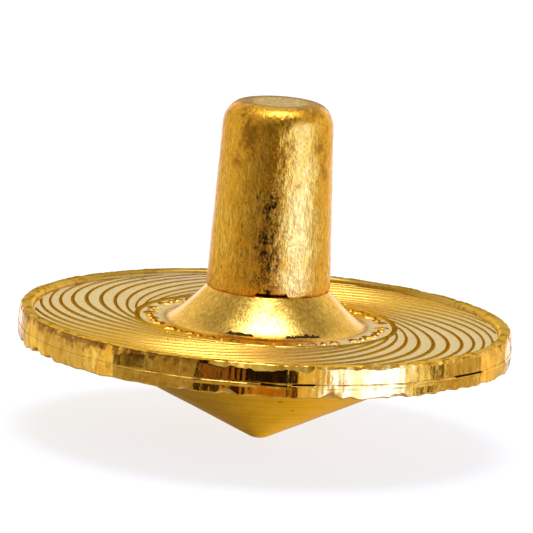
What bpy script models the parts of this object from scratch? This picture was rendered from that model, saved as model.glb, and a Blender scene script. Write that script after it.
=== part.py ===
"""A solid gold finger-spun top: a tapered stem, a two-plate disc and a pointed cone on one hidden pin.

Lengths are in metres. +Z is the spin axis and the origin is the point that the top spins on.
"""

import math

import bmesh
import bpy

MM = 0.001

# Heights above the point, from the bottom up.
PIN_BOTTOM = 1.25 * MM
DISC_UNDERSIDE = 2.92 * MM
PLATE_SEAM = 3.39 * MM
FIELD = 3.83 * MM
RIM_TOP = 4.01 * MM
COLLAR_TOP = 4.98 * MM
STEM_FOOT = 5.02 * MM
PIN_TOP = 7.95 * MM
STEM_TOP = 10.98 * MM

# The gap left between two pieces that bear on each other.
SEATING_GAP = 0.02 * MM

# The disc: two stacked plates, with a raised rim around the upper one.
DISC_RADIUS = 8.00 * MM
UPPER_PLATE_RADIUS = 7.96 * MM
RIM_CREST_OUTER = 7.84 * MM
RIM_CREST_INNER = 7.66 * MM
FIELD_RADIUS = 7.48 * MM
RIM_ROUNDING = 0.14 * MM
EDGE_CHAMFER = 0.05 * MM

# The flared collar in the middle of the upper plate.
COLLAR_TOP_RADIUS = 1.96 * MM
COLLAR_FLARE_RADIUS = 2.95 * MM
COLLAR_FOOT_RADIUS = 3.30 * MM
COLLAR_STEPS = 7

# The stem: a tapered rod with a flat end and a rounded shoulder.
STEM_FOOT_RADIUS = 2.00 * MM
STEM_HEAD_RADIUS = 1.77 * MM
STEM_FLAT_RADIUS = 1.16 * MM
STEM_SHOULDER_HEIGHT = 0.75 * MM
SHOULDER_STEPS = 8

# The cone under the disc, with a rounded point.
CONE_BASE_RADIUS = 5.93 * MM
POINT_RADIUS = 0.78 * MM
POINT_STEPS = 6

# The pin through the middle, and the holes that it is pressed into.
PIN_RADIUS = 0.80 * MM
PIN_CHAMFER = 0.10 * MM
BORE_RADIUS = PIN_RADIUS + SEATING_GAP

# The raised spiral lines on the upper plate. Each turns by a whole number of the gaps between lines, falls
# inward more slowly near its ends, and runs into one ring around the collar.
LINE_COUNT = 28
GAPS_TURNED = 8
FIRST_LINE = math.radians(1.6)
LINE_HEIGHT = 0.04 * MM
LINE_OUTER_END = 7.43 * MM
LINE_END_SLOPE = 0.05 * MM
LINE_EASING = 0.3
LINE_STEPS = 10
RING_OUTER_FOOT = 4.24 * MM
RING_CREST_OUTER = 4.19 * MM
RING_CREST_INNER = 4.13 * MM
RING_INNER_FOOT = 4.08 * MM

# Plain raised marks in the band between that ring and the collar.
MARK_OUTER_FOOT = 3.96 * MM
MARK_CREST_OUTER = 3.88 * MM
MARK_CREST_INNER = 3.54 * MM
MARK_INNER_FOOT = 3.46 * MM
MARK_HEIGHT = 0.06 * MM

# One line's share of a turn is cut into columns: its two flanks, its crest, and the field beside it.
COLUMN_SHARES = (0.00, 0.08, 0.17, 0.25, 0.62)
LINE_CREST = (False, True, True, False, False)
MARK_CREST = (False, True, True, False, True)

PLAIN_SEGMENTS = 96
PIN_SEGMENTS = 48
SMOOTH_BELOW = math.radians(28)

DISC_GOLD = (0.95, 0.66, 0.19)
STEM_GOLD = (0.80, 0.52, 0.13)
CONE_GOLD = (0.86, 0.56, 0.16)
PIN_GOLD = (0.88, 0.60, 0.20)


def remove_everything():
    """Empty the scene."""
    for leftover in list(bpy.data.objects):
        bpy.data.objects.remove(leftover, do_unlink=True)


def metal(name, colour, roughness):
    """A plain metal."""
    material = bpy.data.materials.new(name)
    material.use_nodes = True
    shader = material.node_tree.nodes["Principled BSDF"]
    shader.inputs["Base Color"].default_value = (*colour, 1.0)
    shader.inputs["Metallic"].default_value = 1.0
    shader.inputs["Roughness"].default_value = roughness
    return material


def even_angles(count):
    """Angles that divide a full turn evenly."""
    return [2 * math.pi * step / count for step in range(count)]


def line_angles():
    """The columns of every spiral line in turn, as angles around the axis."""
    pitch = 2 * math.pi / LINE_COUNT
    return [FIRST_LINE + pitch * (line + share) for line in range(LINE_COUNT) for share in COLUMN_SHARES]


def add_ring(shape, radius, heights, angles):
    """One ring of points, or a single point where the ring lies on the axis."""
    if radius == 0:
        return [shape.verts.new((0, 0, heights[0]))]
    return [
        shape.verts.new((radius * math.cos(angle), radius * math.sin(angle), height))
        for angle, height in zip(angles, heights)
    ]


def bridge(shape, first, second):
    """Join two rings of points with a band of faces."""
    count = max(len(first), len(second))
    for step in range(count):
        after = (step + 1) % count
        corners = (
            first[step % len(first)],
            first[after % len(first)],
            second[after % len(second)],
            second[step % len(second)],
        )
        shape.faces.new(list(dict.fromkeys(corners)))


def finish(name, shape, material):
    """Turn a closed shape into a named object, smooth except at its sharp edges."""
    bmesh.ops.recalc_face_normals(shape, faces=shape.faces)
    mesh = bpy.data.meshes.new(name)
    shape.to_mesh(mesh)
    shape.free()
    mesh.shade_smooth()
    mesh.set_sharp_from_angle(angle=SMOOTH_BELOW)
    mesh.materials.append(material)
    piece = bpy.data.objects.new(name, mesh)
    bpy.context.scene.collection.objects.link(piece)
    return piece


def turned(name, profile, segments, material, bored=False):
    """A solid of revolution. Its profile of (radius, height) pairs starts and ends on the axis, or, when
    the piece is bored right through, runs all the way around the section and closes on itself."""
    shape = bmesh.new()
    angles = even_angles(segments)
    rings = [add_ring(shape, radius, [height] * segments, angles) for radius, height in profile]
    for first, second in zip(rings, rings[1:]):
        bridge(shape, first, second)
    if bored:
        bridge(shape, rings[-1], rings[0])
    return finish(name, shape, material)


def quarter_turn(steps):
    """Cosine and sine at even steps from 0 to 90 degrees."""
    return [
        (math.cos(math.pi / 2 * step / steps), math.sin(math.pi / 2 * step / steps))
        for step in range(steps + 1)
    ]


def collar_curve():
    """The collar's outline from its foot to its top: level where it meets the plate, then steeper."""
    points = []
    for step in range(COLLAR_STEPS + 1):
        up = step / COLLAR_STEPS
        foot, flare, top = (1 - up) ** 2, 2 * up * (1 - up), up**2
        radius = foot * COLLAR_FOOT_RADIUS + flare * COLLAR_FLARE_RADIUS + top * COLLAR_TOP_RADIUS
        points.append((radius, FIELD * (foot + flare) + COLLAR_TOP * top))
    return points


def spiral_rings():
    """Rings across the spiral lines as (radius, share of the line's turn).

    The radius falls with the turn, more slowly near both ends.
    """
    outermost = LINE_OUTER_END - LINE_END_SLOPE
    rings = []
    for step in range(LINE_STEPS + 1):
        turn = step / LINE_STEPS
        inward = turn - LINE_EASING * math.sin(2 * math.pi * turn) / (2 * math.pi)
        rings.append((outermost + (RING_OUTER_FOOT - outermost) * inward, turn))
    return rings


def upper_disc():
    """The upper plate: rim, spiral lines, ring, raised marks and collar in one struck piece.

    Every ring has the same columns. The rings turn as they go inward, so the columns follow the spiral
    lines, and a line is made by lifting the columns of its crest.
    """
    full_turn = 2 * math.pi * GAPS_TURNED / LINE_COUNT
    columns = line_angles()
    line_crest = LINE_CREST * LINE_COUNT
    mark_crest = MARK_CREST * LINE_COUNT
    everywhere = [True] * len(columns)
    underside = PLATE_SEAM + SEATING_GAP / 2

    # Each entry: radius, height, share of the turn, columns to lift, how far to lift them.
    sections = [
        (BORE_RADIUS, underside, 0.0, everywhere, 0.0),
        (UPPER_PLATE_RADIUS - EDGE_CHAMFER, underside, 0.0, everywhere, 0.0),
        (UPPER_PLATE_RADIUS, underside + EDGE_CHAMFER, 0.0, everywhere, 0.0),
        (UPPER_PLATE_RADIUS, RIM_TOP - RIM_ROUNDING, 0.0, everywhere, 0.0),
        (UPPER_PLATE_RADIUS - EDGE_CHAMFER, RIM_TOP - EDGE_CHAMFER, 0.0, everywhere, 0.0),
        (RIM_CREST_OUTER, RIM_TOP, 0.0, everywhere, 0.0),
        (RIM_CREST_INNER, RIM_TOP, 0.0, everywhere, 0.0),
        (FIELD_RADIUS, FIELD, 0.0, everywhere, 0.0),
        (LINE_OUTER_END, FIELD, 0.0, everywhere, 0.0),
    ]
    for radius, turn in spiral_rings():
        sections.append((radius, FIELD, turn, line_crest, LINE_HEIGHT))
    sections += [
        (RING_CREST_OUTER, FIELD, 1.0, everywhere, LINE_HEIGHT),
        (RING_CREST_INNER, FIELD, 1.0, everywhere, LINE_HEIGHT),
        (RING_INNER_FOOT, FIELD, 1.0, everywhere, 0.0),
        (MARK_OUTER_FOOT, FIELD, 1.0, everywhere, 0.0),
        (MARK_CREST_OUTER, FIELD, 1.0, mark_crest, MARK_HEIGHT),
        (MARK_CREST_INNER, FIELD, 1.0, mark_crest, MARK_HEIGHT),
        (MARK_INNER_FOOT, FIELD, 1.0, everywhere, 0.0),
    ]
    for radius, height in collar_curve():
        sections.append((radius, height, 1.0, everywhere, 0.0))
    sections.append((BORE_RADIUS, COLLAR_TOP, 1.0, everywhere, 0.0))

    shape = bmesh.new()
    rings = []
    for radius, height, turn, lifted, lift in sections:
        angles = [column + full_turn * turn for column in columns]
        heights = [height + lift * is_lifted for is_lifted in lifted]
        rings.append(add_ring(shape, radius, heights, angles))
    for first, second in zip(rings, rings[1:]):
        bridge(shape, first, second)

    # The bore's wall runs straight down, to the first ring's columns that lie under the last ring's.
    columns_turned = GAPS_TURNED * len(COLUMN_SHARES)
    bridge(shape, rings[-1], rings[0][columns_turned:] + rings[0][:columns_turned])
    return finish("upper_disc", shape, metal("disc_gold", DISC_GOLD, 0.25))


def lower_disc():
    """The base plate, as wide as the whole top."""
    top = PLATE_SEAM - SEATING_GAP / 2
    profile = [
        (BORE_RADIUS, top),
        (DISC_RADIUS - EDGE_CHAMFER, top),
        (DISC_RADIUS, top - EDGE_CHAMFER),
        (DISC_RADIUS, DISC_UNDERSIDE + EDGE_CHAMFER),
        (DISC_RADIUS - EDGE_CHAMFER, DISC_UNDERSIDE),
        (BORE_RADIUS, DISC_UNDERSIDE),
    ]
    return turned("lower_disc", profile, PLAIN_SEGMENTS, metal("plate_gold", DISC_GOLD, 0.20), bored=True)


def point_cone():
    """The cone that the top spins on, with a blind hole for the pin. Its straight side meets the rounded
    point at a tangent."""
    base = DISC_UNDERSIDE - SEATING_GAP
    above_centre = base - POINT_RADIUS
    reach = math.hypot(CONE_BASE_RADIUS, above_centre)
    slope = math.atan2(above_centre, CONE_BASE_RADIUS) + math.asin(POINT_RADIUS / reach)
    profile = []
    for step in range(POINT_STEPS + 1):
        lean = slope * step / POINT_STEPS
        profile.append((POINT_RADIUS * math.sin(lean), POINT_RADIUS * (1 - math.cos(lean))))
    profile += [
        (CONE_BASE_RADIUS, base),
        (BORE_RADIUS, base),
        (BORE_RADIUS, PIN_BOTTOM - SEATING_GAP),
        (0, PIN_BOTTOM - SEATING_GAP),
    ]
    return turned("point_cone", profile, PLAIN_SEGMENTS, metal("cone_gold", CONE_GOLD, 0.35))


def stem():
    """The gripping stem, with a blind hole in its foot for the pin."""
    socket_top = PIN_TOP + SEATING_GAP
    profile = [(0, STEM_TOP)]
    for cosine, sine in reversed(quarter_turn(SHOULDER_STEPS)):
        radius = STEM_FLAT_RADIUS + (STEM_HEAD_RADIUS - STEM_FLAT_RADIUS) * cosine
        profile.append((radius, STEM_TOP - STEM_SHOULDER_HEIGHT * (1 - sine)))
    profile += [
        (STEM_FOOT_RADIUS, STEM_FOOT + EDGE_CHAMFER),
        (STEM_FOOT_RADIUS - EDGE_CHAMFER, STEM_FOOT),
        (BORE_RADIUS, STEM_FOOT),
        (BORE_RADIUS, socket_top),
        (0, socket_top),
    ]
    return turned("stem", profile, PLAIN_SEGMENTS, metal("stem_gold", STEM_GOLD, 0.40))


def centre_pin():
    """The pin that all four other pieces are pressed onto."""
    profile = [
        (0, PIN_BOTTOM),
        (PIN_RADIUS - PIN_CHAMFER, PIN_BOTTOM),
        (PIN_RADIUS, PIN_BOTTOM + PIN_CHAMFER),
        (PIN_RADIUS, PIN_TOP - PIN_CHAMFER),
        (PIN_RADIUS - PIN_CHAMFER, PIN_TOP),
        (0, PIN_TOP),
    ]
    return turned("centre_pin", profile, PIN_SEGMENTS, metal("pin_gold", PIN_GOLD, 0.30))


remove_everything()
upper_disc()
lower_disc()
point_cone()
stem()
centre_pin()
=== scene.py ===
"""A gold spinning top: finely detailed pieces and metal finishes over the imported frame."""

import math

import bpy
import numpy as np
from mathutils import Matrix, Vector

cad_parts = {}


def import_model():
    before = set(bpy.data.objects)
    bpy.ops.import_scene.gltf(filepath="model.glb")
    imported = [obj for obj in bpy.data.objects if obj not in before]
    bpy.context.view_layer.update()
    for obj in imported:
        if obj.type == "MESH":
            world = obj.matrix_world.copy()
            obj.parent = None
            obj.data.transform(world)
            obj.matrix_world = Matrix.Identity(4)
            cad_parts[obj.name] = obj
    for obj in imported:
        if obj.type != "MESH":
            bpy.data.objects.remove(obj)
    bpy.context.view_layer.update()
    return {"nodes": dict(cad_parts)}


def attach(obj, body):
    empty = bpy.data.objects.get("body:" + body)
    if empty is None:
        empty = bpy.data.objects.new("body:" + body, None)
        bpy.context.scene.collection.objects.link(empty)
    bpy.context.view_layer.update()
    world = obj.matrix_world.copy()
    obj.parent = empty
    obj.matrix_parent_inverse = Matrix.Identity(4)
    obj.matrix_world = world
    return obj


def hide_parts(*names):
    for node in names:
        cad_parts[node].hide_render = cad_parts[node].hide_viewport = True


MM = 0.001

# Heights above the point, in millimetres.
DISC_UNDERSIDE = 2.92
LOWER_TOP = 3.38
UPPER_UNDERSIDE = 3.40
FIELD = 3.83
RIM_TOP = 4.01
COLLAR_TOP = 4.98
STEM_FOOT = 5.00
SOCKET_TOP = 7.97
STEM_TOP = 10.98
CONE_TOP = 2.90
CONE_SOCKET = 1.23

# Radii, in millimetres.
BORE = 0.82
LOWER_RADIUS = 7.97
UPPER_RADIUS = 7.95
RIM_CREST_INNER = 7.66
FIELD_RADIUS = 7.46
COLLAR_TOP_RADIUS = 1.96
COLLAR_FLARE_RADIUS = 2.95
COLLAR_FOOT_RADIUS = 3.30
STEM_FOOT_RADIUS = 1.99
STEM_HEAD_RADIUS = 1.77
STEM_FLAT_RADIUS = 1.13
STEM_SHOULDER_HEIGHT = 0.75
CONE_RADIUS = 5.93
POINT_RADIUS = 0.78

# The two plates' walls: how far each leans in from the seam to its other edge, how wide and deep the
# upper one's worn edge usually is, and how far the ragged part of the underside reaches inwards.
UPPER_LEAN = 0.022
LOWER_LEAN = 0.020
EDGE_WIDTH = 0.045
EDGE_DROP = 0.09
RAGGED_REACH = 0.30

# The radius where the painted shade inside the seam ends on the lower plate, and where the underside of
# the upper plate has turned back to where its columns start.
SEAM_SHADE_RADIUS = 7.80
UNTURNED_RADIUS = 7.60

# The raised spiral lines, as in the CAD.
LINE_COUNT = 28
GAPS_TURNED = 8
FULL_TURN = 2 * math.pi * GAPS_TURNED / LINE_COUNT
FIRST_LINE = math.radians(1.27)
LINE_HEIGHT = 0.045
LINE_SHARE = 0.30
LINE_OUTER_END = 7.43
LINE_END_SLOPE = 0.05
LINE_EASING = 0.3
RING_OUTER_FOOT = 4.24
RING_INNER_FOOT = 4.08

# The raised marks in the band inside the ring, in groups with one place left empty between them.
MARKS_PER_LINE = 2
MARKS_PER_GROUP = 8
MARK_RADIUS = 3.75
MARK_REACH = 0.29
MARK_HEIGHT = 0.055

# The direction around the axis, in degrees: where the way out from the axis lies along it, the disc's face
# gets a painted pale reflection and its lines a painted brown reflection.
REFLECTION_WAY = -25.0

# How finely the pieces are divided around the axis, and along each stretch of their outlines.
COLUMNS_PER_LINE = 48
DISC_COLUMNS = LINE_COUNT * COLUMNS_PER_LINE
STEM_COLUMNS = 720
CONE_COLUMNS = 480
PLAIN_ROWS = 6
TURNED_ROWS = 24
UPPER_WALL_ROWS = 18
LOWER_WALL_ROWS = 14
WORN_EDGE_ROWS = 8
RAGGED_ROWS = 4
RIM_ROWS = 12
SPIRAL_ROWS = 120
RING_ROWS = 14
BAND_ROWS = 44
COLLAR_ROWS = 60
POINT_ROWS = 16
CONE_ROWS = 90
STEM_ROWS = 150
SHOULDER_ROWS = 30
STEM_END_ROWS = 16

# Material slots of the upper plate, and of the lower one.
WALL, RIM, FIELD_FROST, LINES, MARKS, COLLAR, FOOT_SHADE = range(7)
SHEARED, SEAM_SHADE, LEDGE = range(3)

# Where the sheared edge of the disc breaks from one flat to the next, in degrees around the axis.
EDGE_BREAKS = (
    -145.0, -126.2, -106.3, -81.8, -55.8, -30.0, -15.0, 4.0, 21.0, 38.0, 58.0,
    79.0, 98.0, 121.0, 143.0, 165.0, 180.0, 197.0,
)
EDGE_FLATNESS = 0.35

# The tables down to STEM_GAP are of stretches around the axis, as (middle, half the width) in degrees.
# Where the upper edge is folded over the wall, and where it is worn down in small hills.
EDGE_FOLDS = ((-127.0, 1.5), (-20.0, 2.0), (62.0, 3.0))
WORN_HILLS = ((-90.5, 10.0),)

# Where the seam of the two plates stands open.
SEAM_CRACKS = ((-80.5, 1.8), (-34.7, 4.0), (18.0, 5.0), (96.0, 9.0), (171.0, 6.0))

# Where the lower plate stands out as a bright ledge under the seam, and where it is smooth and set back.
LEDGES = ((-109.0, 17.0), (-48.0, 6.5))
SMOOTH_SIDE = ((-158.0, 28.0),)

# Where black slivers of painted shade lie at the foot of the collar, out to this radius in millimetres.
SHADE_SLIVERS = ((-105.5, 7.0), (-66.5, 10.0), (38.0, 7.0), (128.0, 9.0))
SHADE_SLIVER_RADIUS = 3.10

# Where the stem's foot stands off the collar.
STEM_GAP = ((-86.5, 14.0),)

# Waves summed by dents(), and the angle in degrees from which an edge of a mesh is shaded as sharp.
WAVES = 36
SHARP_ANGLE = 50

# The camera's lens and sensor in millimetres, and how far it looks down and is rolled, in degrees.
LENS = 504.3
SENSOR = 36.0
CAMERA_ELEVATION = 11.14
CAMERA_ROLL = 3.62

# Its distance from the middle of the disc in metres, and how far to the right of that middle and above it
# the camera looks, in millimetres.
CAMERA_DISTANCE = 0.24
AIM_RIGHT = 0.01
AIM_UP = 1.572

# Half the width of the floor, in metres.
FLOOR_REACH = 2.0

# Colours that several finishes share.
GOLD = (0.96, 0.54, 0.055)
PALE_GOLD = (0.98, 0.61, 0.10)
DEEP_GOLD = (0.82, 0.41, 0.029)
OCHRE = (0.84, 0.40, 0.020)
STAIN = (0.32, 0.125, 0.010)
SOOT = (0.035, 0.016, 0.005)

# What the golds turn to where they are seen edge-on. The pairs are for the golden part and the painted
# pale reflection of the frosted face, and for the bright part and the painted brown reflection of its
# lines.
GOLD_EDGE = (1.0, 0.80, 0.46)
SATIN_EDGE = (0.98, 0.71, 0.28)
RIM_EDGE = (0.98, 0.74, 0.30)
OLIVE_EDGE = (0.68, 0.43, 0.06)
FROST_EDGES = (1.0, 0.76, 0.22), (1.0, 0.86, 0.56)
LINE_EDGES = (0.88, 0.58, 0.15), (0.54, 0.33, 0.055)
MARK_EDGE = (0.80, 0.48, 0.09)


# ---------------------------------------------------------------- shapes


def around(columns, first=0.0):
    """Angles of evenly spaced columns around the axis."""
    return first + 2 * np.pi * np.arange(columns) / columns


def waver(angles, seed, waves, depth):
    """Smooth random variation around the axis that joins up with itself: about that many waves a turn, up
    to depth either way. Each seed gives its own."""
    random = np.random.default_rng(seed)
    total = np.zeros_like(angles)
    for count in range(max(1, waves // 3), waves + waves // 2 + 1):
        total += random.normal() * np.sin(count * angles + random.uniform(0, 2 * np.pi))
    return depth * total / np.abs(total).max()


def dents(angles, heights, seed, radius, size, depth, stretch=1.0):
    """Smooth random unevenness of a round surface of about that radius. size is the usual distance
    between dents in millimetres, and stretch is how many times longer they are along the axis."""
    random = np.random.default_rng(seed)
    total = np.zeros(np.broadcast_shapes(np.shape(angles), np.shape(heights)))
    for _ in range(WAVES):
        way = random.uniform(0, np.pi)
        wavelength = size * random.uniform(0.7, 1.8)
        turns = round(2 * np.pi * radius * np.cos(way) / wavelength)
        upward = 2 * np.pi * np.sin(way) / (wavelength * stretch)
        total = total + np.sin(turns * angles + upward * heights + random.uniform(0, 2 * np.pi))
    return depth * total / np.sqrt(WAVES)


def apart(angles, middle):
    """How far each angle lies from a direction in degrees, the short way around, in degrees."""
    return np.abs((np.degrees(angles) - middle + 180) % 360 - 180)


def window(angles, middle, half, soft):
    """1 within half of a direction, fading out over soft beyond it, all in degrees."""
    share = np.clip((half + soft - apart(angles, middle)) / soft, 0, 1)
    return share * share * (3 - 2 * share)


def stretches(angles, places, soft):
    """1 within each stretch, given as (middle, half the width), fading out over soft, all in degrees."""
    return sum(window(angles, middle, half, soft) for middle, half in places)


def nicks(angles, seed, count, width, depth):
    """Small nicks at random places around an edge: how deep they are at each angle. Half the width of the
    widest is given in degrees."""
    random = np.random.default_rng(seed)
    total = np.zeros_like(angles)
    for _ in range(count):
        middle = random.uniform(-180, 180)
        half = width * random.uniform(0.4, 1.0)
        deepest = depth * random.uniform(0.3, 1.0)
        total = np.maximum(total, deepest * np.clip(1 - (apart(angles, middle) / half) ** 1.5, 0, 1))
    return total


def flats(angles):
    """How far the edge lies inside a circle of radius 1, because it is flattened between its breaks."""
    corners = np.radians([*EDGE_BREAKS, EDGE_BREAKS[0] + 360.0])
    turned = (angles - corners[0]) % (2 * np.pi) + corners[0]
    index = np.clip(np.searchsorted(corners, turned, side="right") - 1, 0, len(EDGE_BREAKS) - 1)
    half = (corners[index + 1] - corners[index]) / 2
    middle = (corners[index + 1] + corners[index]) / 2
    return EDGE_FLATNESS * (1 - np.cos(half) / np.cos(turned - middle))


def ramp(start, end, steps):
    """Rows that go evenly from start to end, without the last one."""
    share = (np.arange(steps) / steps)[:, None]
    return np.asarray(start) * (1 - share) + np.asarray(end) * share


def rounded(start, end, steps, slow_start):
    """Rows along one coordinate of a quarter of an ellipse, without the last row."""
    turn = (np.arange(steps) / steps * np.pi / 2)[:, None]
    share = 1 - np.cos(turn) if slow_start else np.sin(turn)
    return np.asarray(start) * (1 - share) + np.asarray(end) * share


class Outline:
    """Rows of points that sweep a piece's surface, each row going around the axis."""

    def __init__(self, columns, first=0.0):
        self.angles = around(columns, first)
        self.rows = []

    def add(self, radius, height, slot=0, turn=0.0):
        """Append rows. Each argument is a number or an array that fits rows by columns."""
        radius, height, slot, turn, angle = np.broadcast_arrays(
            np.atleast_2d(radius), np.atleast_2d(height), slot, turn, self.angles[None, :]
        )
        self.rows.append((radius, height, slot, angle + turn))

    def piece(self, name, materials, poles=()):
        """Make the object. With no poles the rows close on themselves. Otherwise poles are the heights
        on the axis where the first and the last row are closed."""
        radius, height, slot, angle = (np.concatenate(part) for part in zip(*self.rows))
        rows, columns = radius.shape
        points = np.stack([radius * np.cos(angle), radius * np.sin(angle), height], axis=-1)
        points = points.reshape(-1, 3)
        index = np.arange(rows * columns).reshape(rows, columns)
        after = np.roll(index, -1, axis=1)
        last = rows - 1 if poles else rows
        above, above_after = np.roll(index, -1, axis=0), np.roll(after, -1, axis=0)
        quads = np.stack([index, after, above_after, above], axis=-1)[:last]
        faces = quads.reshape(-1, 4).tolist()
        slots = slot[:last].reshape(-1).tolist()
        if poles:
            first_pole, last_pole = len(points), len(points) + 1
            points = np.vstack([points, [[0, 0, poles[0]], [0, 0, poles[1]]]])
            faces += [[first_pole, b, a] for a, b in zip(index[0], after[0])]
            faces += [[last_pole, a, b] for a, b in zip(index[-1], after[-1])]
            slots += [int(slot[0, 0])] * columns + [int(slot[-1, 0])] * columns
        mesh = bpy.data.meshes.new(name)
        mesh.from_pydata((points * MM).tolist(), [], faces)
        mesh.polygons.foreach_set("material_index", slots)
        mesh.shade_smooth()
        mesh.set_sharp_from_angle(angle=math.radians(SHARP_ANGLE))
        for material in materials:
            mesh.materials.append(material)
        piece = bpy.data.objects.new(name, mesh)
        bpy.context.scene.collection.objects.link(piece)
        return piece


# ---------------------------------------------------------------- finishes


def add_node(tree, kind, inputs=None, **settings):
    """Add a node. Each input is given as a value or as the socket to link it to."""
    node = tree.nodes.new(kind)
    for name, value in settings.items():
        setattr(node, name, value)
    for key, value in (inputs or {}).items():
        if isinstance(value, bpy.types.NodeSocket):
            tree.links.new(value, node.inputs[key])
        else:
            node.inputs[key].default_value = value
    return node


def maths(tree, operation, *values):
    """One step of arithmetic on numbers or sockets."""
    return add_node(tree, "ShaderNodeMath", dict(enumerate(values)), operation=operation).outputs[0]


def times(tree, first, second):
    """The product of two numbers or sockets."""
    return maths(tree, "MULTIPLY", first, second)


def plus(tree, first, second):
    """The sum of two numbers or sockets."""
    return maths(tree, "ADD", first, second)


def new_metal(name, edge=GOLD_EDGE, coat=0.0, coat_roughness=0.0):
    """A metal with only what is the same all over it set. A coat whitens its strongest highlights. Returns
    the material, its tree and its shader."""
    material = bpy.data.materials.new(name)
    material.use_nodes = True
    tree = material.node_tree
    shader = tree.nodes["Principled BSDF"]
    shader.inputs["Metallic"].default_value = 1.0
    shader.inputs["Specular Tint"].default_value = (*edge, 1.0)
    shader.inputs["Coat Weight"].default_value = coat
    shader.inputs["Coat Roughness"].default_value = coat_roughness
    return material, tree, shader


def millimetres(tree, stretch=(1.0, 1.0, 1.0)):
    """The place on the object in millimetres, with each axis multiplied by stretch."""
    place = add_node(tree, "ShaderNodeTexCoord").outputs["Object"]
    scale = [1000.0 * axis for axis in stretch]
    return add_node(tree, "ShaderNodeMapping", {"Vector": place, "Scale": scale}).outputs["Vector"]


def coordinates(tree):
    """The place on the object in millimetres, as the sockets X, Y and Z."""
    return add_node(tree, "ShaderNodeSeparateXYZ", {0: millimetres(tree)}).outputs


def distance_from_axis(tree):
    """The distance from the axis in millimetres."""
    flat = millimetres(tree, (1.0, 1.0, 0.0))
    return add_node(tree, "ShaderNodeVectorMath", {0: flat}, operation="LENGTH").outputs["Value"]


# Used to place painted reflection by the direction around the axis.
def along_direction(tree, grain=0.0):
    """From 0 where the way out from the axis is square to a direction, in degrees around the axis, to 1
    where it lies along it."""
    inputs = {0: millimetres(tree), 1: (math.cos(math.radians(grain)), math.sin(math.radians(grain)), 0.0)}
    reach = add_node(tree, "ShaderNodeVectorMath", inputs, operation="DOT_PRODUCT").outputs["Value"]
    return maths(tree, "DIVIDE", maths(tree, "ABSOLUTE", reach), distance_from_axis(tree))


def along_helix(tree, lean, squeeze):
    """The place in millimetres, turned about the axis by lean radians for each millimetre of height and
    squeezed along it, so that a texture is drawn out along a helix."""
    inputs = {"Vector": millimetres(tree), "Angle": times(tree, coordinates(tree)["Z"], lean)}
    turned = add_node(tree, "ShaderNodeVectorRotate", inputs, rotation_type="Z_AXIS").outputs[0]
    inputs = {"Vector": turned, "Scale": (1.0, 1.0, squeeze)}
    return add_node(tree, "ShaderNodeMapping", inputs).outputs[0]


def noise(tree, vector, scale, detail=4.0, rough=0.55):
    """Fractal noise from 0 to 1, most of it between 0.3 and 0.7, with about scale lumps a millimetre."""
    inputs = {"Vector": vector, "Scale": scale, "Detail": detail, "Roughness": rough}
    return add_node(tree, "ShaderNodeTexNoise", inputs).outputs["Fac"]


def spread(tree, value, low, high, to_low=0.0, to_high=1.0):
    """Turn the values from low to high into those from to_low to to_high, and hold the ones beyond."""
    inputs = {"Value": value, "From Min": low, "From Max": high, "To Min": to_low, "To Max": to_high}
    return add_node(tree, "ShaderNodeMapRange", inputs).outputs["Result"]


def tint(tree, share, first, second):
    """A colour between two, by share. Each colour is red, green and blue, or a socket."""
    mix = add_node(tree, "ShaderNodeMix", {"Factor": share}, data_type="RGBA")
    for key, colour in ((6, first), (7, second)):
        if isinstance(colour, tuple):
            mix.inputs[key].default_value = (*colour, 1.0)
        else:
            tree.links.new(colour, mix.inputs[key])
    return mix.outputs[2]


def finish_metal(tree, shader, colour, roughness, layers):
    """Link a metal's colour, roughness and bumps, given as (height, distance in millimetres) layers."""
    tree.links.new(colour, shader.inputs["Base Color"])
    tree.links.new(roughness, shader.inputs["Roughness"])
    normal = None
    for height, distance in layers:
        inputs = {"Height": height, "Distance": distance * MM}
        if normal is not None:
            inputs["Normal"] = normal
        normal = add_node(tree, "ShaderNodeBump", inputs).outputs["Normal"]
    tree.links.new(normal, shader.inputs["Normal"])


def sheared_gold(name):
    """The bright sheared edge of the disc, with fine marks drawn down it. Brown smudges hang from its top
    on the left, and dirt darkens its upper corner there and at the far right."""
    worn_brown = (0.66, 0.31, 0.020)
    material, tree, shader = new_metal(name, coat=0.25, coat_roughness=0.08)
    marks = noise(tree, millimetres(tree, (1.0, 1.0, 0.05)), 9.0, detail=6.0)
    bands = noise(tree, millimetres(tree, (1.0, 1.0, 0.12)), 1.8, detail=3.0)
    cloud = noise(tree, millimetres(tree, (1.0, 1.0, 0.7)), 1.6)
    smear = noise(tree, millimetres(tree, (1.0, 1.0, 0.75)), 2.4, detail=9.0, rough=0.74)
    mottle = noise(tree, millimetres(tree, (1.0, 1.0, 0.6)), 3.6, detail=6.0, rough=0.6)
    place = coordinates(tree)
    on_left = spread(tree, place["X"], -0.9, -3.0)
    on_far_right = spread(tree, place["X"], 4.4, 5.8, 0.0, 0.8)
    near_top = spread(tree, place["Z"], 3.46, 3.86, -0.16, 0.03)
    below_corner = spread(tree, place["Z"], 3.86, 3.98, -0.3, 0.0)
    hanging = spread(tree, plus(tree, smear, near_top), 0.46, 0.54, 0.0, 0.9)
    corner = spread(tree, plus(tree, mottle, below_corner), 0.40, 0.50)
    colour = tint(tree, spread(tree, bands, 0.38, 0.62), DEEP_GOLD, PALE_GOLD)
    colour = tint(tree, spread(tree, mottle, 0.47, 0.58, 0.0, 0.7), colour, worn_brown)
    colour = tint(tree, times(tree, hanging, on_left), colour, STAIN)
    colour = tint(tree, times(tree, corner, maths(tree, "MAXIMUM", on_left, on_far_right)), colour, STAIN)
    colour = tint(tree, spread(tree, mottle, 0.70, 0.72), colour, SOOT)
    roughness = spread(tree, marks, 0.35, 0.75, 0.05, 0.20)
    finish_metal(tree, shader, colour, roughness, [(cloud, 0.024), (bands, 0.007), (marks, 0.0009)])
    return material


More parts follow.
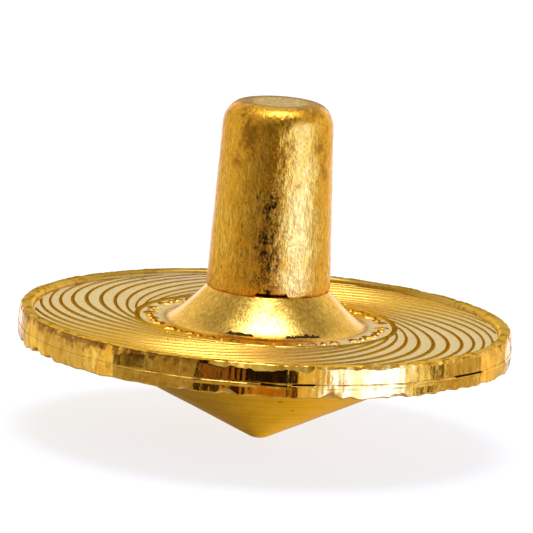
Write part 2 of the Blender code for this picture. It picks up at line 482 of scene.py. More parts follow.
def rim_gold():
    """The satin rim: bright gold at the front, with a painted pale reflection on its two sides and a
    painted olive reflection at the back, and with smudges.
    """
    front_gold, rim_dark_reflection, rim_pale_reflection = (0.95, 0.57, 0.09), (0.50, 0.28, 0.03), (0.80, 0.54, 0.15)
    dull_gold, smudge, speck = (0.74, 0.45, 0.06), (0.44, 0.23, 0.03), (0.50, 0.27, 0.04)
    material, tree, shader = new_metal("rim_gold")
    grain = noise(tree, millimetres(tree), 16.0)
    cloud = noise(tree, millimetres(tree), 1.2)
    smudges = noise(tree, millimetres(tree), 2.6, detail=6.0, rough=0.65)
    # Painted reflection: olive at the back of the rim, pale on its two sides.
    back = spread(tree, coordinates(tree)["Y"], 1.5, 4.5)
    side = spread(tree, along_direction(tree), 0.60, 0.92)
    colour = tint(tree, back, front_gold, rim_dark_reflection)
    colour = tint(tree, side, colour, rim_pale_reflection)
    colour = tint(tree, spread(tree, cloud, 0.35, 0.65, 0.0, 0.4), colour, dull_gold)
    colour = tint(tree, spread(tree, smudges, 0.52, 0.58, 0.0, 0.75), colour, smudge)
    colour = tint(tree, spread(tree, grain, 0.55, 0.70, 0.0, 0.4), colour, speck)
    edge = tint(tree, back, RIM_EDGE, OLIVE_EDGE)
    edge = tint(tree, spread(tree, smudges, 0.52, 0.60, 0.0, 0.75), edge, OLIVE_EDGE)
    tree.links.new(edge, shader.inputs["Specular Tint"])
    roughness = spread(tree, cloud, 0.3, 0.7, 0.26, 0.42)
    finish_metal(tree, shader, colour, roughness, [(cloud, 0.02), (grain, 0.004)])
    return material


def frosted_gold():
    """The frosted face between the lines. It is golden, with a painted pale reflection where the way out
    from the axis lies along one direction. It has fine scratches and a few black flecks, the band of marks
    is a deeper gold where the painted pale reflection leaves it, and a painted shade browns it around the
    foot of the collar."""
    golden, field_pale_reflection, cloudy = (0.92, 0.60, 0.10), (0.84, 0.69, 0.33), (0.80, 0.59, 0.20)
    scratch, collar_foot_shade, band_gold = (0.60, 0.42, 0.16), (0.50, 0.33, 0.08), (0.78, 0.41, 0.025)
    material, tree, shader = new_metal("field_gold")
    grain = noise(tree, millimetres(tree), 26.0, detail=3.0)
    cloud = noise(tree, millimetres(tree), 0.9)
    scratches = noise(tree, millimetres(tree, (0.25, 1.6, 1.0)), 9.0, detail=6.0)
    flecks = noise(tree, millimetres(tree), 2.3, detail=1.0)
    from_axis = distance_from_axis(tree)
    # Painted pale reflection, where the way out from the axis lies along REFLECTION_WAY.
    pale = spread(tree, along_direction(tree, REFLECTION_WAY), 0.38, 0.80)
    # Painted shade: the face browns around the foot of the collar.
    by_collar = spread(tree, from_axis, COLLAR_FOOT_RADIUS, 3.50, 0.5, 0.0)
    inside_ring = spread(tree, from_axis, 4.15, 4.05)
    in_band = times(tree, inside_ring, spread(tree, pale, 1.0, 0.4))
    colour = tint(tree, pale, golden, field_pale_reflection)
    colour = tint(tree, spread(tree, cloud, 0.35, 0.65, 0.4, 0.0), colour, cloudy)
    colour = tint(tree, spread(tree, scratches, 0.28, 0.40), scratch, colour)
    colour = tint(tree, by_collar, colour, collar_foot_shade)
    colour = tint(tree, spread(tree, flecks, 0.795, 0.80), colour, SOOT)
    colour = tint(tree, in_band, colour, band_gold)
    edge = tint(tree, in_band, tint(tree, pale, *FROST_EDGES), MARK_EDGE)
    tree.links.new(edge, shader.inputs["Specular Tint"])
    roughness = spread(tree, grain, 0.3, 0.7, 0.42, 0.58)
    finish_metal(tree, shader, colour, roughness, [(grain, 0.004)])
    return material


def line_gold():
    """The raised lines and their ring: bright gold, with a painted brown reflection where the way out from
    the axis lies along one direction. The worn hills of the upper edge have the same finish."""
    bright, line_dark_reflection, worn = (0.92, 0.52, 0.065), (0.48, 0.27, 0.030), (0.80, 0.48, 0.065)
    material, tree, shader = new_metal("line_gold")
    wear = noise(tree, millimetres(tree), 5.0)
    # Painted brown reflection on the lines, set by the direction of the way out from the axis.
    brown = spread(tree, along_direction(tree, REFLECTION_WAY), 0.38, 0.80)
    colour = tint(tree, brown, bright, line_dark_reflection)
    colour = tint(tree, spread(tree, wear, 0.45, 0.75, 0.0, 0.3), colour, worn)
    tree.links.new(tint(tree, brown, *LINE_EDGES), shader.inputs["Specular Tint"])
    roughness = spread(tree, wear, 0.3, 0.7, 0.26, 0.34)
    finish_metal(tree, shader, colour, roughness, [(wear, 0.0015)])
    return material


def mark_gold():
    """The raised marks, browned in patches."""
    brown, bright = (0.30, 0.13, 0.011), (0.84, 0.45, 0.050)
    material, tree, shader = new_metal("mark_gold", edge=MARK_EDGE)
    wear = noise(tree, millimetres(tree), 6.0)
    colour = tint(tree, spread(tree, wear, 0.42, 0.62), brown, bright)
    roughness = spread(tree, wear, 0.3, 0.7, 0.36, 0.46)
    finish_metal(tree, shader, colour, roughness, [(wear, 0.004)])
    return material


def collar_gold():
    """The collar, brushed from its foot up to its top, with a few black specks."""
    brushed, bright, cloudy = (0.68, 0.36, 0.030), (0.98, 0.60, 0.090), (0.66, 0.37, 0.04)
    material, tree, shader = new_metal("collar_gold", coat=0.38, coat_roughness=0.22)
    brushing = noise(tree, millimetres(tree, (1.0, 1.0, 0.28)), 9.0, detail=8.0, rough=0.65)
    cloud = noise(tree, millimetres(tree), 1.3)
    grain = noise(tree, millimetres(tree), 13.0)
    colour = tint(tree, spread(tree, brushing, 0.38, 0.62), brushed, bright)
    colour = tint(tree, spread(tree, cloud, 0.46, 0.62, 0.0, 0.5), colour, cloudy)
    colour = tint(tree, spread(tree, grain, 0.71, 0.73), colour, SOOT)
    roughness = spread(tree, brushing, 0.3, 0.7, 0.11, 0.22)
    finish_metal(tree, shader, colour, roughness, [(cloud, 0.018), (brushing, 0.008), (grain, 0.0015)])
    return material


def gap_shade(name):
    """Black and dark brown painted shade, for the slivers at the collar's foot and the inside of the seam.
    """
    brown_shade = (0.14, 0.065, 0.012)
    material, tree, shader = new_metal(name)
    grain = noise(tree, millimetres(tree), 18.0)
    colour = tint(tree, spread(tree, grain, 0.45, 0.65), SOOT, brown_shade)
    finish_metal(tree, shader, colour, spread(tree, grain, 0.3, 0.7, 0.6, 0.8), [(grain, 0.02)])
    return material


def worn_gold():
    """The worn ledge under the seam."""
    material, tree, shader = new_metal("ledge_gold")
    wear = noise(tree, millimetres(tree), 6.0)
    colour = tint(tree, spread(tree, wear, 0.35, 0.60), DEEP_GOLD, PALE_GOLD)
    finish_metal(tree, shader, colour, spread(tree, wear, 0.3, 0.7, 0.38, 0.50), [(wear, 0.006)])
    return material


def front_dark_reflection(tree, place):
    """How much painted dark reflection darkens the strip down the front of the stem: 0 off it, and more
    further down.
    """
    off_middle = maths(tree, "ABSOLUTE", plus(tree, place["X"], 0.07))
    on_front = times(tree, spread(tree, off_middle, 0.55, 0.12), spread(tree, place["Y"], 0.0, -1.0))
    return times(tree, on_front, spread(tree, place["Z"], 9.4, 8.2, 0.0, 0.11))


def stem_end(tree, place, mottle):
    """1 on the frosted end of the stem, with a ragged border, and 0 elsewhere."""
    at_top = spread(tree, place["Z"], STEM_TOP - 0.012, STEM_TOP - 0.004)
    ragged = plus(tree, distance_from_axis(tree), times(tree, mottle, 0.5))
    return times(tree, at_top, spread(tree, ragged, 1.35, 1.05))


def stem_gold():
    """The stem: fine drawn streaks crossed by a slanting grain, ochre and brown stains that are thickest
    near its head, black specks, a painted dark reflection as a black strip down its front, and a pale
    frosted end."""
    streak, end_brown, end_pale = (0.70, 0.34, 0.028), (0.46, 0.30, 0.08), (0.86, 0.66, 0.25)
    material, tree, shader = new_metal("stem_gold", coat=0.2, coat_roughness=0.2)
    weave = noise(tree, along_helix(tree, 0.35, 0.32), 15.0, detail=3.0)
    drawn = noise(tree, millimetres(tree, (1.0, 1.0, 0.2)), 15.0, detail=6.0, rough=0.6)
    grain = noise(tree, millimetres(tree, (1.0, 1.0, 0.8)), 12.0, detail=4.0, rough=0.65)
    mottle = noise(tree, millimetres(tree, (1.0, 1.0, 0.5)), 4.5, detail=6.0, rough=0.7)
    cloud = noise(tree, millimetres(tree, (1.0, 1.0, 0.8)), 1.3, detail=9.0, rough=0.72)
    place = coordinates(tree)
    film = maths(tree, "SUBTRACT", cloud, spread(tree, place["Z"], 7.6, 9.9, 0.08, -0.03))
    specks = times(tree, plus(tree, grain, mottle), 0.5)
    # Black specks, and the painted dark reflection down the front.
    specks_and_dark_reflection = plus(tree, specks, front_dark_reflection(tree, place))
    colour = tint(tree, spread(tree, drawn, 0.40, 0.55), streak, GOLD)
    colour = tint(tree, spread(tree, film, 0.42, 0.52), colour, OCHRE)
    colour = tint(tree, spread(tree, film, 0.54, 0.62, 0.0, 0.75), colour, STAIN)
    colour = tint(tree, spread(tree, weave, 0.32, 0.44, 0.45, 0.0), colour, STAIN)
    colour = tint(tree, spread(tree, grain, 0.63, 0.70, 0.0, 0.6), colour, STAIN)
    colour = tint(tree, spread(tree, specks_and_dark_reflection, 0.57, 0.68), colour, SOOT)
    on_end = stem_end(tree, place, mottle)
    colour = tint(tree, on_end, colour, tint(tree, spread(tree, grain, 0.38, 0.62), end_brown, end_pale))
    satin = spread(tree, grain, 0.35, 0.65, 0.09, 0.22)
    roughness = maths(tree, "MAXIMUM", satin, times(tree, on_end, 0.45))
    layers = [(cloud, 0.035), (mottle, 0.014), (drawn, 0.009), (weave, 0.010), (grain, 0.010)]
    finish_metal(tree, shader, colour, roughness, layers)
    return material


def turned_gold(name):
    """The satin cone and pin, with faint circular tool marks and a few pits."""
    shaded, bright = (0.86, 0.48, 0.065), (0.98, 0.58, 0.095)
    material, tree, shader = new_metal(name, edge=SATIN_EDGE)
    inputs = {"W": distance_from_axis(tree), "Scale": 6.0, "Detail": 6.0}
    rings = add_node(tree, "ShaderNodeTexNoise", inputs, noise_dimensions="1D").outputs["Fac"]
    cloud = noise(tree, millimetres(tree), 0.9)
    grain = noise(tree, millimetres(tree), 14.0)
    inputs = {"Vector": millimetres(tree), "Scale": 0.8}
    from_pit = add_node(tree, "ShaderNodeTexVoronoi", inputs).outputs["Distance"]
    colour = tint(tree, spread(tree, cloud, 0.35, 0.65), shaded, bright)
    colour = tint(tree, spread(tree, rings, 0.36, 0.46), DEEP_GOLD, colour)
    colour = tint(tree, spread(tree, from_pit, 0.05, 0.07), STAIN, colour)
    roughness = spread(tree, grain, 0.3, 0.7, 0.24, 0.36)
    finish_metal(tree, shader, colour, roughness, [(cloud, 0.02), (rings, 0.004), (grain, 0.003)])
    return material


# ---------------------------------------------------------------- pieces


def line_section():
    """Height of the lines at each column, from 0 to 1, and which columns are on a line."""
    share = (np.arange(DISC_COLUMNS) % COLUMNS_PER_LINE) / COLUMNS_PER_LINE
    across = (share - LINE_SHARE / 2) / (LINE_SHARE / 2)
    return crested(across), np.abs(across) < 1


def crested(across):
    """Height of a flat-topped line, from 0 to 1, where across runs from -1 to 1 over it."""
    return np.clip(1 - np.abs(across) ** 3, 0, 1)


def marks(radius, angles):
    """Height of the raised marks, from 0 to 1: groups of lozenges with a bead between them. Both rise as
    steep cones that are cut off flat."""
    pitch = 2 * np.pi / (LINE_COUNT * MARKS_PER_LINE)
    place = (angles - FIRST_LINE) / pitch
    across = np.abs((place % 1 - 0.5) * 2)
    along = np.abs(radius - MARK_RADIUS) / MARK_REACH
    lozenge_steepness, lozenge_width = 2.5, 0.95
    bead_steepness, bead_length, bead_width = 3.0, 0.5, 0.6
    lozenge = lozenge_steepness * (1 - along - across / lozenge_width)
    bead = bead_steepness * (1 - np.hypot(along / bead_length, across / bead_width))
    kind = np.floor(place) % MARKS_PER_GROUP
    chosen = np.where(kind % 2 == 1, lozenge, bead)
    return np.where(kind == 0, 0, np.clip(chosen, 0, 1))


def edge_radius(angles, radius):
    """Radius of the sheared edge at each angle."""
    return radius * (1 - flats(angles)) + waver(angles, 6, waves=210, depth=0.0025)


def edge_dents(angles, height, seed, radius):
    """The unevenness of a sheared wall, drawn out along the axis."""
    return dents(angles, height, seed, radius, size=0.7, depth=0.0018, stretch=4.0)


def add_upper_underside(shape, wall, foot, cracked):
    """The underside of the upper plate, where its columns turn back to where they start, and its foot."""
    unwind = np.linspace(1, 0, TURNED_ROWS)[:, None]
    radius = BORE + (UNTURNED_RADIUS - BORE) * (1 - unwind)
    shape.add(radius, UPPER_UNDERSIDE, WALL, FULL_TURN * unwind)
    # Painted shade on the underside where the seam stands open.
    shape.add(wall - 0.04, UPPER_UNDERSIDE, np.where(cracked > 0.5, FOOT_SHADE, WALL))
    shape.add(wall - 0.008, foot, WALL)


def add_upper_wall(shape, wall, foot):
    """The wall of the upper plate, its worn edge and its rim."""
    angles = shape.angles
    nick = nicks(angles, 8, count=40, width=2.2, depth=0.05)
    folded = stretches(angles, EDGE_FOLDS, soft=5.0)
    hills = stretches(angles, WORN_HILLS, soft=3.0) * (0.07 + waver(angles, 16, waves=62, depth=0.07))
    drop = EDGE_DROP + waver(angles, 9, waves=26, depth=0.04) + waver(angles, 14, waves=120, depth=0.03)
    drop = drop + 0.14 * folded + nick + hills
    width = EDGE_WIDTH + waver(angles, 10, waves=18, depth=0.02)
    width = width + 0.06 * folded + 0.5 * nick + 0.85 * hills
    crest = RIM_TOP - 0.022 + waver(angles, 11, waves=30, depth=0.010)
    crest = crest + waver(angles, 15, waves=150, depth=0.012) - 0.4 * nick

    height = ramp(foot + 0.015, crest - drop, UPPER_WALL_ROWS)
    leaning = ramp(wall, wall - UPPER_LEAN, UPPER_WALL_ROWS)
    shape.add(leaning + edge_dents(angles, height, 51, UPPER_RADIUS), height, WALL)
    shape.add(
        ramp(wall - UPPER_LEAN, wall - UPPER_LEAN - width, WORN_EDGE_ROWS),
        ramp(crest - drop, crest, WORN_EDGE_ROWS),
        np.where(hills > 0.02, LINES, WALL),
    )
    shape.add(
        ramp(wall - UPPER_LEAN - width, RIM_CREST_INNER, PLAIN_ROWS),
        ramp(crest, RIM_TOP, PLAIN_ROWS),
        RIM,
    )
    shape.add(
        rounded(RIM_CREST_INNER, FIELD_RADIUS, RIM_ROWS, slow_start=False),
        rounded(RIM_TOP, FIELD, RIM_ROWS, slow_start=True),
        RIM,
    )
    shape.add(ramp(FIELD_RADIUS, LINE_OUTER_END, 3), FIELD, FIELD_FROST)


def add_lines(shape):
    """The spiral lines and the ring that they run into."""
    line_height, on_line = line_section()
    slots = np.where(on_line, LINES, FIELD_FROST)
    outermost = LINE_OUTER_END - LINE_END_SLOPE
    slope = FIELD + ramp(0, 0.9, 2) * LINE_HEIGHT * line_height
    shape.add(ramp(LINE_OUTER_END, outermost, 2), slope, slots)
    turn = (np.arange(SPIRAL_ROWS) / SPIRAL_ROWS)[:, None]
    inward = turn - LINE_EASING * np.sin(2 * np.pi * turn) / (2 * np.pi)
    radius = outermost + (RING_OUTER_FOOT - outermost) * inward
    shape.add(radius, FIELD + LINE_HEIGHT * line_height, slots, FULL_TURN * turn)

    across = np.linspace(-1, 1, RING_ROWS)[:, None]
    middle = (RING_OUTER_FOOT + RING_INNER_FOOT) / 2
    half = (RING_OUTER_FOOT - RING_INNER_FOOT) / 2
    outer_side = np.where(across < 0, line_height, 0.0)
    height = FIELD + LINE_HEIGHT * np.maximum(crested(across), outer_side)
    shape.add(middle - half * across, height, LINES, FULL_TURN)


def add_band(shape):
    """The band inside the ring, with its marks."""
    radius = np.linspace(RING_INNER_FOOT - 0.02, COLLAR_FOOT_RADIUS + 0.03, BAND_ROWS)[:, None]
    lift = marks(radius, shape.angles)
    slots = np.where(lift > 0, MARKS, FIELD_FROST)
    shape.add(radius, FIELD + MARK_HEIGHT * lift, slots, FULL_TURN)


def add_collar(shape):
    """The collar, a curve between its foot, its flare and its top, with black slivers of painted shade at
    its foot.
    """
    angles = shape.angles
    up = np.linspace(0, 1, COLLAR_ROWS)[:, None]
    foot, flare, top = (1 - up) ** 2, 2 * up * (1 - up), up**2
    radius = foot * COLLAR_FOOT_RADIUS + flare * COLLAR_FLARE_RADIUS + top * COLLAR_TOP_RADIUS
    height = FIELD * (foot + flare) + (COLLAR_TOP - 0.03) * top
    radius = radius + dents(angles, height, 52, radius=2.5, size=0.9, depth=0.006) * np.sin(np.pi * up)
    # Black slivers of painted shade at the collar's foot.
    width = 0.11 + waver(angles, 61, waves=60, depth=0.06) + waver(angles, 62, waves=200, depth=0.05)
    width = width * stretches(angles + FULL_TURN, SHADE_SLIVERS, soft=2.0)
    in_shade_sliver = np.abs(radius - SHADE_SLIVER_RADIUS + width / 2) < width / 2
    shape.add(radius, height, np.where(in_shade_sliver, FOOT_SHADE, COLLAR), FULL_TURN)
    shape.add(COLLAR_TOP_RADIUS - 0.03, COLLAR_TOP, COLLAR, FULL_TURN)
    shape.add(ramp(COLLAR_TOP_RADIUS - 0.1, BORE, PLAIN_ROWS), COLLAR_TOP, COLLAR, FULL_TURN)
    shape.add(BORE, ramp(COLLAR_TOP, UPPER_UNDERSIDE, PLAIN_ROWS), COLLAR, FULL_TURN)


def upper_plate():
    """Rim, spiral lines, ring, raised marks and collar: the upper plate in one piece."""
    shape = Outline(DISC_COLUMNS, FIRST_LINE)
    angles = shape.angles
    wall = edge_radius(angles, UPPER_RADIUS)
    cracked = stretches(angles, SEAM_CRACKS, soft=2.0)
    foot = UPPER_UNDERSIDE + 0.01 + 0.03 * cracked + np.abs(waver(angles, 12, waves=70, depth=0.01))
    add_upper_underside(shape, wall, foot, cracked)
    add_upper_wall(shape, wall, foot)
    add_lines(shape)
    add_band(shape)
    add_collar(shape)
    materials = [
        sheared_gold("wall_gold"),
        rim_gold(),
        frosted_gold(),
        line_gold(),
        mark_gold(),
        collar_gold(),
        gap_shade("foot_shade"),
    ]
    return shape.piece("upper_plate", materials)


def add_lower_wall(shape, wall):
    """The underside of the lower plate, its ragged edge and its wall."""
    angles = shape.angles
    nick = nicks(angles, 28, count=30, width=3.0, depth=0.17)
    drop = 0.06 + waver(angles, 29, waves=30, depth=0.03)
    drop = drop + waver(angles, 32, waves=70, depth=0.010) + 0.5 * nick
    bite = DISC_UNDERSIDE + (0.035 + waver(angles, 33, waves=60, depth=0.034) + 0.4 * nick)
    width = 0.04 + np.abs(waver(angles, 30, waves=34, depth=0.14)) + 0.9 * nick
    bottom = wall - LOWER_LEAN
    flat_edge = bottom - width - RAGGED_REACH

    shape.add(ramp(BORE, CONE_RADIUS, 5), DISC_UNDERSIDE, SHEARED)
    shape.add(ramp(CONE_RADIUS, flat_edge, 10), DISC_UNDERSIDE, SHEARED)
    shape.add(
        ramp(flat_edge, bottom - width, RAGGED_ROWS),
        ramp(DISC_UNDERSIDE, bite, RAGGED_ROWS),
        SHEARED,
    )
    shape.add(
        rounded(bottom - width, bottom, PLAIN_ROWS, slow_start=False),
        rounded(bite, bite + drop, PLAIN_ROWS, slow_start=True),
        SHEARED,
    )
    height = ramp(bite + drop, LOWER_TOP - 0.10, LOWER_WALL_ROWS)
    leaning = ramp(bottom, wall, LOWER_WALL_ROWS)
    shape.add(leaning + edge_dents(angles, height, 53, LOWER_RADIUS), height, SHEARED)


def add_seam(shape, wall, smooth_side):
    """The ledge at the top of the lower plate's wall, the burr that closes over the seam except at its
    cracks, and the upper face."""
    angles = shape.angles
    above = edge_radius(angles, UPPER_RADIUS)
    cracked = stretches(angles, SEAM_CRACKS, soft=2.0)
    shelf = stretches(angles, LEDGES, soft=3.0)
    ledge = (0.016 + waver(angles, 27, waves=40, depth=0.008)) * (1 - 0.9 * smooth_side) + 0.014 * shelf
    ledge_top = LOWER_TOP - 0.030 + 0.025 * shelf
    burr = (0.045 + waver(angles, 31, waves=60, depth=0.02)) * (1 - cracked)
    burr_top = LOWER_TOP + burr - 0.02 * cracked

    shape.add(wall + ledge, ledge_top - 0.025, SHEARED)
    shape.add(wall + ledge, ledge_top, np.where(shelf > 0.4, LEDGE, SHEARED))
    shape.add(above + 0.5 * ledge * (1 - shelf) + 0.008, 0.4 * LOWER_TOP + 0.6 * burr_top, SHEARED)
    shape.add(above + 0.006, burr_top, SHEARED)
    # The open cracks and the face under the upper plate take the painted shade.
    shape.add(above + 0.002, LOWER_TOP, np.where(cracked > 0.5, SEAM_SHADE, SHEARED))
    shape.add(ramp(SEAM_SHADE_RADIUS, BORE, PLAIN_ROWS), LOWER_TOP, SEAM_SHADE)


def lower_plate():
    """The base plate, with a ragged lower edge and a ledge and a burr under the seam."""
    shape = Outline(DISC_COLUMNS)
    smooth_side = stretches(shape.angles, SMOOTH_SIDE, soft=8.0)
    wall = edge_radius(shape.angles, LOWER_RADIUS) - 0.014 * smooth_side
    add_lower_wall(shape, wall)
    add_seam(shape, wall, smooth_side)
    return shape.piece("lower_plate", [sheared_gold("plate_gold"), gap_shade("seam_shade"), worn_gold()])


def cone():
    """The cone. Its straight side meets the rounded point at a tangent."""
    shape = Outline(CONE_COLUMNS)
    above_centre = CONE_TOP - POINT_RADIUS
    to_edge = math.hypot(CONE_RADIUS, above_centre)
    slope = math.atan2(above_centre, CONE_RADIUS) + math.asin(POINT_RADIUS / to_edge)
    lean = np.linspace(0.1, 1, POINT_ROWS)[:, None] * slope
    shape.add(POINT_RADIUS * np.sin(lean), POINT_RADIUS * (1 - np.cos(lean)))
    tangent_radius, tangent_height = POINT_RADIUS * math.sin(slope), POINT_RADIUS * (1 - math.cos(slope))
    radius = ramp(tangent_radius, CONE_RADIUS, CONE_ROWS)[1:]
    height = ramp(tangent_height, CONE_TOP, CONE_ROWS)[1:]
    fade = np.clip(radius - tangent_radius, 0, 1) * np.clip((CONE_RADIUS - radius) / 0.3, 0, 1)
    uneven = dents(shape.angles, radius, 54, radius=3.0, size=1.4, depth=0.004)
    shape.add(radius, height + fade * uneven)
    shape.add(CONE_RADIUS, CONE_TOP)
    shape.add(BORE, CONE_TOP)
    shape.add(BORE, CONE_SOCKET)
    return shape.piece("cone", [turned_gold("cone_gold")], poles=(0.0, CONE_SOCKET))


def stem_dents(angles, height):
    """How far the stem's surface stands out of its taper, in millimetres."""
    broad = dents(angles, height, 45, radius=1.9, size=1.0, depth=0.006)
    fine = dents(angles, height, 46, radius=1.9, size=0.30, depth=0.003, stretch=1.5)
    return broad + fine


def grip():
    """The stem, with a ragged foot and an uneven drawn surface."""
    shape = Outline(STEM_COLUMNS)
    angles = shape.angles
    nick = nicks(angles, 42, count=22, width=8.0, depth=0.05)
    foot = STEM_FOOT - 0.044 + 0.110 * stretches(angles, STEM_GAP, soft=3.0)
    foot = foot + np.abs(waver(angles, 41, waves=40, depth=0.02)) + nick
    ragged = waver(angles, 44, waves=14, depth=0.012) + waver(angles, 43, waves=90, depth=0.006)

    shape.add(BORE, SOCKET_TOP)
    shape.add(BORE, ramp(SOCKET_TOP, STEM_FOOT, 4)[1:])
    shape.add(ramp(BORE, STEM_FOOT_RADIUS - 0.06, PLAIN_ROWS), STEM_FOOT)
    shape.add(STEM_FOOT_RADIUS - 0.02 + ragged, foot)

    shoulder = STEM_TOP - STEM_SHOULDER_HEIGHT
    height = ramp(foot + 0.03, shoulder, STEM_ROWS)
    up = (np.arange(STEM_ROWS) / STEM_ROWS)[:, None]
    taper = ramp(STEM_FOOT_RADIUS, STEM_HEAD_RADIUS, STEM_ROWS)
    shape.add(taper + stem_dents(angles, height) + ragged * np.clip(1 - 8 * up, 0, 1), height)

    height = rounded(shoulder, STEM_TOP, SHOULDER_ROWS, slow_start=False)
    rounding = rounded(STEM_HEAD_RADIUS, STEM_FLAT_RADIUS, SHOULDER_ROWS, slow_start=True)
    fade = np.cos(np.arange(SHOULDER_ROWS) / SHOULDER_ROWS * np.pi / 2)[:, None]
    shape.add(rounding + fade * stem_dents(angles, height), height)
    shape.add(ramp(STEM_FLAT_RADIUS, 0.05, STEM_END_ROWS), STEM_TOP)
    return shape.piece("grip", [stem_gold()], poles=(SOCKET_TOP, STEM_TOP))


# ---------------------------------------------------------------- studio


def near(tree, angle, middle, reach, soft):
    """1 where an angle lies within reach of middle, the short way around, fading over soft on each side of
    there, all in degrees."""
    offset = maths(tree, "WRAP", maths(tree, "SUBTRACT", angle, middle), 180.0, -180.0)
    away = maths(tree, "ABSOLUTE", offset)
    inputs = {"Value": away, "From Min": reach + soft, "From Max": reach - soft}
    return add_node(tree, "ShaderNodeMapRange", inputs, interpolation_type="SMOOTHSTEP").outputs["Result"]


# The light from each part of the studio. Each entry holds the middle and half the width of its azimuths,
# the same of its elevations and the softness of its border, all in degrees, then red, green and blue.
# Azimuth 0 is towards the camera and rises to its right. Later entries lie over earlier ones.
SKY_BASE = (0.45, 0.44, 0.42)
SKY = (
    # What the cone mirrors in place of the table: it is dim behind to the left, and bright behind to the
    # right.
    ((0, 360), (-60, 33), 4, (0.52, 0.50, 0.48)),
    ((-162, 13), (-40, 18), 4, (0.17, 0.16, 0.15)),
    ((165, 9), (-40, 18), 4, (0.95, 0.92, 0.88)),
    # The left wall, with a bright strip and a dark one, and the part of it beside the camera.
    ((-122, 45), (8, 38), 10, (0.72, 0.72, 0.76)),
    ((-50, 18), (0, 34), 7, (0.42, 0.38, 0.30)),
    ((-84, 5), (-4, 30), 3, (1.05, 1.0, 0.85)),
    ((-136, 7), (-4, 16), 4, (1.0, 1.0, 1.0)),
    ((-60, 5), (-1, 9), 3, (0.13, 0.11, 0.06)),
    # The right wall and the back wall, with the darker and brighter strips that the collar and the disc
    # mirror.
    ((120, 40), (4, 34), 8, (0.82, 0.82, 0.88)),
    ((180, 42), (27, 20), 8, (0.98, 0.95, 0.90)),
    ((180, 14), (13, 9), 5, (0.56, 0.54, 0.50)),
    ((180, 13), (-6, 12), 4, (0.30, 0.28, 0.24)),
    ((163, 7), (2, 14), 2, (1.5, 1.5, 1.9)),
    ((-165, 6), (2, 14), 2, (1.5, 1.5, 1.9)),
    ((106, 6), (-4, 30), 4, (0.58, 0.53, 0.44)),
    ((130, 8), (-4, 30), 4, (1.2, 1.15, 1.1)),
    # The lamp overhead, and the soft box to the right of the camera with its brighter middle. They are
    # blue, so that gold mirrors them as a creamy white.
    ((0, 360), (90, 24), 6, (1.0, 1.0, 1.05)),
    ((0, 360), (90, 14), 4, (7.0, 8.6, 16.0)),
    ((84, 7), (0, 34), 3, (1.05, 1.1, 1.2)),
    ((56, 22), (0, 34), 3, (1.15, 1.65, 5.8)),
    ((50, 12), (-4, 22), 4, (1.9, 2.9, 13.0)),
    # A dim strip beside the soft box, and two dark blotches on the right wall.
    ((25, 10), (4, 38), 3, (0.85, 0.80, 0.62)),
    ((90.5, 2.8), (-3, 8), 1.5, (0.09, 0.07, 0.02)),
    ((88.5, 3.0), (-18, 6), 1.5, (0.09, 0.07, 0.02)),
    # The dark shapes around the camera, and the brown ones below them.
    ((-6, 19), (14, 27), 2, (0.015, 0.010, 0.006)),
    ((-16, 5.5), (-7, 5), 1.0, (0.30, 0.16, 0.10)),
    ((-6, 19), (-21, 9), 2, (0.05, 0.03, 0.015)),
    ((-1, 8), (-21, 9), 1.2, (0.50, 0.26, 0.05)),
)


def light_sky():
    """The studio around the object."""
    world = bpy.data.worlds.new("studio")
    world.use_nodes = True
    bpy.context.scene.world = world
    tree = world.node_tree
    look = add_node(tree, "ShaderNodeTexCoord").outputs["Generated"]
    parts = add_node(tree, "ShaderNodeSeparateXYZ", {0: look}).outputs
    azimuth = maths(tree, "DEGREES", maths(tree, "ARCTAN2", parts["X"], times(tree, parts["Y"], -1.0)))
    elevation = maths(tree, "DEGREES", maths(tree, "ARCSINE", parts["Z"]))
    colour = SKY_BASE
    for sides, ends, soft, light in SKY:
        patch = times(tree, near(tree, azimuth, *sides, soft), near(tree, elevation, *ends, soft))
        colour = tint(tree, patch, colour, light)
    tree.links.new(colour, tree.nodes["Background"].inputs["Color"])


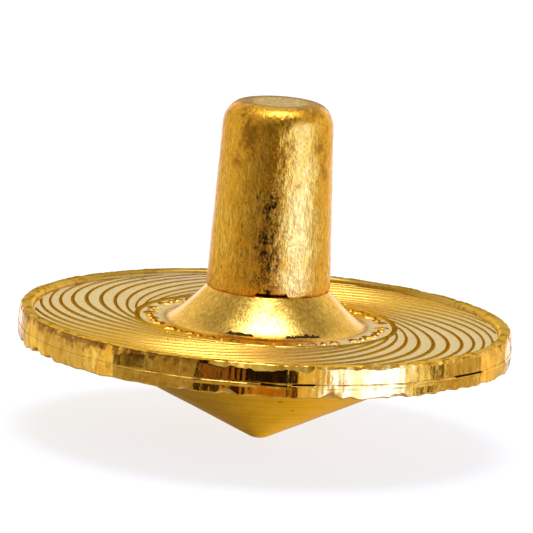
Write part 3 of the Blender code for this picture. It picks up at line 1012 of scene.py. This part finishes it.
def pale_floor():
    """A pale, softly glowing table, which the metal doesn't mirror."""
    mesh = bpy.data.meshes.new("floor")
    signs = ((-1, -1), (1, -1), (1, 1), (-1, 1))
    corners = [(FLOOR_REACH * x, FLOOR_REACH * y, 0) for x, y in signs]
    mesh.from_pydata(corners, [], [(0, 1, 2, 3)])
    floor = bpy.data.objects.new("floor", mesh)
    bpy.context.scene.collection.objects.link(floor)
    material = bpy.data.materials.new("floor_white")
    material.use_nodes = True
    shader = material.node_tree.nodes["Principled BSDF"]
    shader.inputs["Base Color"].default_value = (0.26, 0.25, 0.20, 1.0)
    shader.inputs["Roughness"].default_value = 0.9
    shader.inputs["Emission Color"].default_value = (1.0, 1.0, 1.0, 1.0)
    shader.inputs["Emission Strength"].default_value = 0.75
    mesh.materials.append(material)
    floor.visible_glossy = False


def camera():
    """A long lens, a little above the disc, and rolled so that the top leans."""
    scene = bpy.context.scene
    lens = bpy.data.cameras.new("camera")
    lens.lens = LENS
    lens.sensor_width = SENSOR
    lens.clip_start = 0.01
    lens.clip_end = 10.0
    holder = bpy.data.objects.new("camera", lens)
    scene.collection.objects.link(holder)
    scene.camera = holder

    elevation = math.radians(CAMERA_ELEVATION)
    roll = math.radians(CAMERA_ROLL)
    centre = Vector((0, 0, RIM_TOP * MM))
    forward = Vector((0, math.cos(elevation), -math.sin(elevation)))
    upward = Vector((0, math.sin(elevation), math.cos(elevation)))
    across = Vector((1, 0, 0))
    right = math.cos(roll) * across + math.sin(roll) * upward
    up = math.cos(roll) * upward - math.sin(roll) * across
    place = centre - CAMERA_DISTANCE * forward
    aim = centre + AIM_RIGHT * MM * right + AIM_UP * MM * up
    look = (aim - place).normalized()
    right = (right - right.dot(look) * look).normalized()
    up = right.cross(look)
    holder.matrix_world = Matrix(
        (
            (right.x, up.x, -look.x, place.x),
            (right.y, up.y, -look.y, place.y),
            (right.z, up.z, -look.z, place.z),
            (0, 0, 0, 1),
        )
    )
    scene.view_settings.view_transform = "Standard"


def main():
    """Build the pieces over the frame, then the studio."""
    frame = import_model()
    for piece, node, slot in (
        (upper_plate(), "upper_disc", "disc_gold"),
        (lower_plate(), "lower_disc", "plate_gold"),
        (cone(), "point_cone", "cone_gold"),
        (grip(), "stem", "stem_gold"),
    ):
        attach(piece, "root")
        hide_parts(node)
    frame["nodes"]["centre_pin"].material_slots[0].material = turned_gold("pin_gold")
    camera()
    light_sky()
    pale_floor()


main()
